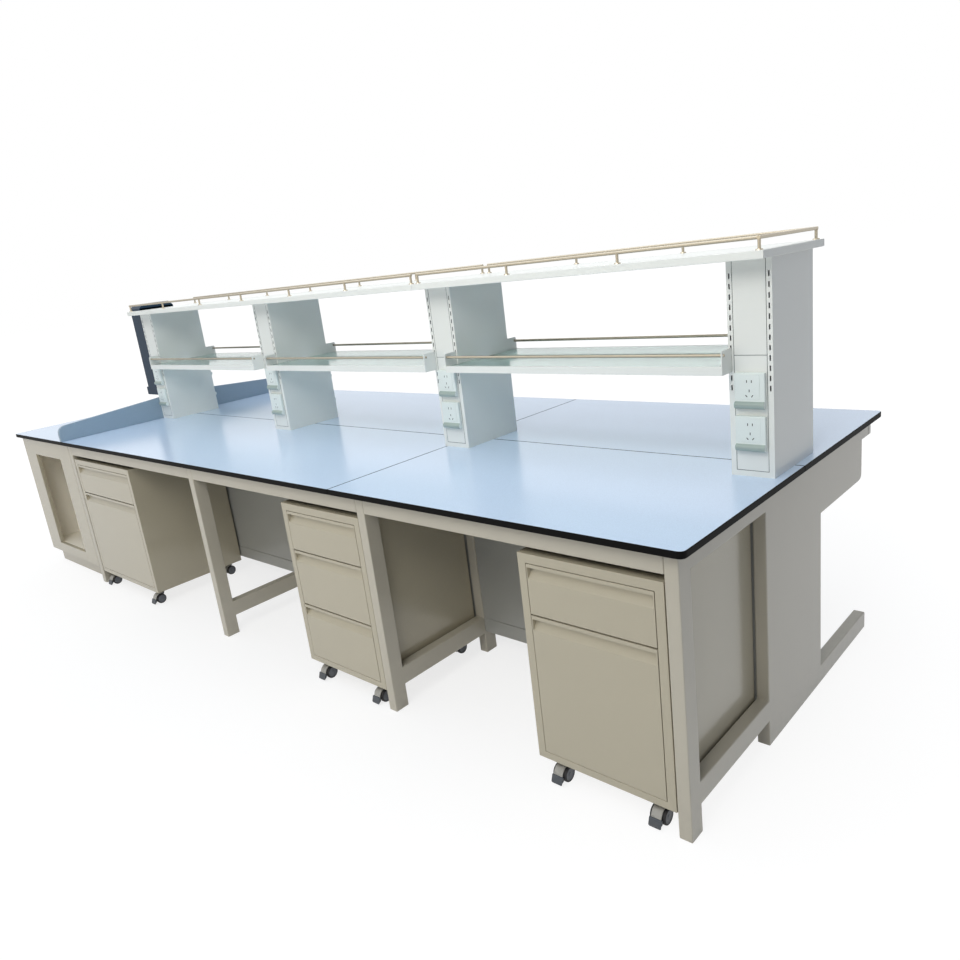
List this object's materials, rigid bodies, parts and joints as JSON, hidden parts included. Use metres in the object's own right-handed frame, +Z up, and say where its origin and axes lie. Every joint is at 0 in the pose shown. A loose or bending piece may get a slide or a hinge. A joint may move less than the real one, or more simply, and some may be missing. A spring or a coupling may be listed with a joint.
{
  "type": "laboratory bench with reagent shelf",
  "caption": "Long island laboratory bench on open steel frames with a double-sided reagent shelf, sockets, drip rack, open end cabinet and mobile drawer pedestals on castors.",
  "frame": {"origin": "on the floor below the middle of the worktop", "axes": "+X along the bench towards the plain end, -Y towards the front with the drawers, +Z up"},
  "size_m": [4.53, 1.5, 1.528],
  "materials": {
    "worktop_laminate": "satin light blue-grey laminate with a black edge",
    "ivory_paint": "semi-gloss ivory powder coat",
    "duct_paint": "semi-gloss grey-beige powder coat",
    "white_paint": "semi-gloss cool white powder coat",
    "splash_laminate": "satin grey-blue laminate",
    "slate_plastic": "satin dark slate moulding",
    "castor_grey": "moulded light grey nylon",
    "tyre_black": "matt black tread on a grey hub"
  },
  "bodies": {
    "bench": {"worktop_front_left": "worktop_laminate", "worktop_front_right": "worktop_laminate", "worktop_back_left": "worktop_laminate", "worktop_back_right": "worktop_laminate", "frame_cabinet_side": "ivory_paint", "frame_left_bay": "ivory_paint", "frame_right_bay": "ivory_paint", "frame_right_end": "ivory_paint", "front_apron_left": "ivory_paint", "service_duct_left": "duct_paint", "front_apron_middle": "ivory_paint", "service_duct_middle": "duct_paint", "front_apron_right": "ivory_paint", "service_duct_right": "duct_paint", "back_apron": "ivory_paint", "left_cabinet": "ivory_paint", "upright_1": "white_paint", "upright_2": "white_paint", "upright_3": "white_paint", "upright_4": "white_paint", "hung_shelf_front_1": "white_paint", "hung_shelf_back_1": "white_paint", "hung_shelf_front_2": "white_paint", "hung_shelf_back_2": "white_paint", "hung_shelf_front_3": "white_paint", "hung_shelf_back_3": "white_paint", "top_shelf_left": "white_paint", "top_shelf_right": "white_paint", "splash_panel_front": "splash_laminate", "splash_panel_back": "splash_laminate", "drip_rack": "slate_plastic"},
    "pedestal_1": {"pedestal_1_carcass": "ivory_paint"},
    "pedestal_1_drawer_1": {"pedestal_1_drawer_1": "ivory_paint"},
    "pedestal_1_drawer_2": {"pedestal_1_drawer_2": "ivory_paint"},
    "pedestal_1_rear_wheel_left": {"pedestal_1_rear_wheel_left": "tyre_black"},
    "pedestal_1_castor_fork_left": {"pedestal_1_castor_fork_left": "castor_grey"},
    "pedestal_1_castor_wheel_left": {"pedestal_1_castor_wheel_left": "tyre_black"},
    "pedestal_1_rear_wheel_right": {"pedestal_1_rear_wheel_right": "tyre_black"},
    "pedestal_1_castor_fork_right": {"pedestal_1_castor_fork_right": "castor_grey"},
    "pedestal_1_castor_wheel_right": {"pedestal_1_castor_wheel_right": "tyre_black"},
    "pedestal_2": {"pedestal_2_carcass": "ivory_paint"},
    "pedestal_2_drawer_1": {"pedestal_2_drawer_1": "ivory_paint"},
    "pedestal_2_drawer_2": {"pedestal_2_drawer_2": "ivory_paint"},
    "pedestal_2_drawer_3": {"pedestal_2_drawer_3": "ivory_paint"},
    "pedestal_2_rear_wheel_left": {"pedestal_2_rear_wheel_left": "tyre_black"},
    "pedestal_2_castor_fork_left": {"pedestal_2_castor_fork_left": "castor_grey"},
    "pedestal_2_castor_wheel_left": {"pedestal_2_castor_wheel_left": "tyre_black"},
    "pedestal_2_rear_wheel_right": {"pedestal_2_rear_wheel_right": "tyre_black"},
    "pedestal_2_castor_fork_right": {"pedestal_2_castor_fork_right": "castor_grey"},
    "pedestal_2_castor_wheel_right": {"pedestal_2_castor_wheel_right": "tyre_black"},
    "pedestal_3": {"pedestal_3_carcass": "ivory_paint"},
    "pedestal_3_drawer_1": {"pedestal_3_drawer_1": "ivory_paint"},
    "pedestal_3_drawer_2": {"pedestal_3_drawer_2": "ivory_paint"},
    "pedestal_3_rear_wheel_left": {"pedestal_3_rear_wheel_left": "tyre_black"},
    "pedestal_3_castor_fork_left": {"pedestal_3_castor_fork_left": "castor_grey"},
    "pedestal_3_castor_wheel_left": {"pedestal_3_castor_wheel_left": "tyre_black"},
    "pedestal_3_rear_wheel_right": {"pedestal_3_rear_wheel_right": "tyre_black"},
    "pedestal_3_castor_fork_right": {"pedestal_3_castor_fork_right": "castor_grey"},
    "pedestal_3_castor_wheel_right": {"pedestal_3_castor_wheel_right": "tyre_black"}
  },
  "joints": [
    {"name": "pedestal_1_roll", "type": "slide", "parent": "bench", "child": "pedestal_1", "axis": [0, -1, 0], "range_m": [0, 0.6]},
    {"name": "pedestal_1_drawer_1_slide", "type": "slide", "parent": "pedestal_1", "child": "pedestal_1_drawer_1", "axis": [0, -1, 0], "range_m": [0, 0.38]},
    {"name": "pedestal_1_drawer_2_slide", "type": "slide", "parent": "pedestal_1", "child": "pedestal_1_drawer_2", "axis": [0, -1, 0], "range_m": [0, 0.38]},
    {"name": "pedestal_1_rear_wheel_left_roll", "type": "hinge", "parent": "pedestal_1", "child": "pedestal_1_rear_wheel_left", "pos_m": [-1.408, -0.271, 0.025], "axis": [1, 0, 0], "continuous": true},
    {"name": "pedestal_1_castor_fork_left_swivel", "type": "hinge", "parent": "pedestal_1", "child": "pedestal_1_castor_fork_left", "pos_m": [-1.408, -0.672, 0.066], "axis": [0, 0, 1], "continuous": true},
    {"name": "pedestal_1_castor_wheel_left_roll", "type": "hinge", "parent": "pedestal_1_castor_fork_left", "child": "pedestal_1_castor_wheel_left", "pos_m": [-1.408, -0.69, 0.025], "axis": [1, 0, 0], "continuous": true},
    {"name": "pedestal_1_rear_wheel_right_roll", "type": "hinge", "parent": "pedestal_1", "child": "pedestal_1_rear_wheel_right", "pos_m": [-0.865, -0.271, 0.025], "axis": [1, 0, 0], "continuous": true},
    {"name": "pedestal_1_castor_fork_right_swivel", "type": "hinge", "parent": "pedestal_1", "child": "pedestal_1_castor_fork_right", "pos_m": [-0.865, -0.672, 0.066], "axis": [0, 0, 1], "continuous": true},
    {"name": "pedestal_1_castor_wheel_right_roll", "type": "hinge", "parent": "pedestal_1_castor_fork_right", "child": "pedestal_1_castor_wheel_right", "pos_m": [-0.865, -0.69, 0.025], "axis": [1, 0, 0], "continuous": true},
    {"name": "pedestal_2_roll", "type": "slide", "parent": "bench", "child": "pedestal_2", "axis": [0, -1, 0], "range_m": [0, 0.6]},
    {"name": "pedestal_2_drawer_1_slide", "type": "slide", "parent": "pedestal_2", "child": "pedestal_2_drawer_1", "axis": [0, -1, 0], "range_m": [0, 0.38]},
    {"name": "pedestal_2_drawer_2_slide", "type": "slide", "parent": "pedestal_2", "child": "pedestal_2_drawer_2", "axis": [0, -1, 0], "range_m": [0, 0.38]},
    {"name": "pedestal_2_drawer_3_slide", "type": "slide", "parent": "pedestal_2", "child": "pedestal_2_drawer_3", "axis": [0, -1, 0], "range_m": [0, 0.38]},
    {"name": "pedestal_2_rear_wheel_left_roll", "type": "hinge", "parent": "pedestal_2", "child": "pedestal_2_rear_wheel_left", "pos_m": [0.613, -0.271, 0.025], "axis": [1, 0, 0], "continuous": true},
    {"name": "pedestal_2_castor_fork_left_swivel", "type": "hinge", "parent": "pedestal_2", "child": "pedestal_2_castor_fork_left", "pos_m": [0.613, -0.672, 0.066], "axis": [0, 0, 1], "continuous": true},
    {"name": "pedestal_2_castor_wheel_left_roll", "type": "hinge", "parent": "pedestal_2_castor_fork_left", "child": "pedestal_2_castor_wheel_left", "pos_m": [0.613, -0.69, 0.025], "axis": [1, 0, 0], "continuous": true},
    {"name": "pedestal_2_rear_wheel_right_roll", "type": "hinge", "parent": "pedestal_2", "child": "pedestal_2_rear_wheel_right", "pos_m": [0.947, -0.271, 0.025], "axis": [1, 0, 0], "continuous": true},
    {"name": "pedestal_2_castor_fork_right_swivel", "type": "hinge", "parent": "pedestal_2", "child": "pedestal_2_castor_fork_right", "pos_m": [0.947, -0.672, 0.066], "axis": [0, 0, 1], "continuous": true},
    {"name": "pedestal_2_castor_wheel_right_roll", "type": "hinge", "parent": "pedestal_2_castor_fork_right", "child": "pedestal_2_castor_wheel_right", "pos_m": [0.947, -0.69, 0.025], "axis": [1, 0, 0], "continuous": true},
    {"name": "pedestal_3_roll", "type": "slide", "parent": "bench", "child": "pedestal_3", "axis": [0, -1, 0], "range_m": [0, 0.6]},
    {"name": "pedestal_3_drawer_1_slide", "type": "slide", "parent": "pedestal_3", "child": "pedestal_3_drawer_1", "axis": [0, -1, 0], "range_m": [0, 0.38]},
    {"name": "pedestal_3_drawer_2_slide", "type": "slide", "parent": "pedestal_3", "child": "pedestal_3_drawer_2", "axis": [0, -1, 0], "range_m": [0, 0.38]},
    {"name": "pedestal_3_rear_wheel_left_roll", "type": "hinge", "parent": "pedestal_3", "child": "pedestal_3_rear_wheel_left", "pos_m": [1.791, -0.271, 0.025], "axis": [1, 0, 0], "continuous": true},
    {"name": "pedestal_3_castor_fork_left_swivel", "type": "hinge", "parent": "pedestal_3", "child": "pedestal_3_castor_fork_left", "pos_m": [1.791, -0.672, 0.066], "axis": [0, 0, 1], "continuous": true},
    {"name": "pedestal_3_castor_wheel_left_roll", "type": "hinge", "parent": "pedestal_3_castor_fork_left", "child": "pedestal_3_castor_wheel_left", "pos_m": [1.791, -0.69, 0.025], "axis": [1, 0, 0], "continuous": true},
    {"name": "pedestal_3_rear_wheel_right_roll", "type": "hinge", "parent": "pedestal_3", "child": "pedestal_3_rear_wheel_right", "pos_m": [2.125, -0.271, 0.025], "axis": [1, 0, 0], "continuous": true},
    {"name": "pedestal_3_castor_fork_right_swivel", "type": "hinge", "parent": "pedestal_3", "child": "pedestal_3_castor_fork_right", "pos_m": [2.125, -0.672, 0.066], "axis": [0, 0, 1], "continuous": true},
    {"name": "pedestal_3_castor_wheel_right_roll", "type": "hinge", "parent": "pedestal_3_castor_fork_right", "child": "pedestal_3_castor_wheel_right", "pos_m": [2.125, -0.69, 0.025], "axis": [1, 0, 0], "continuous": true}
  ]
}
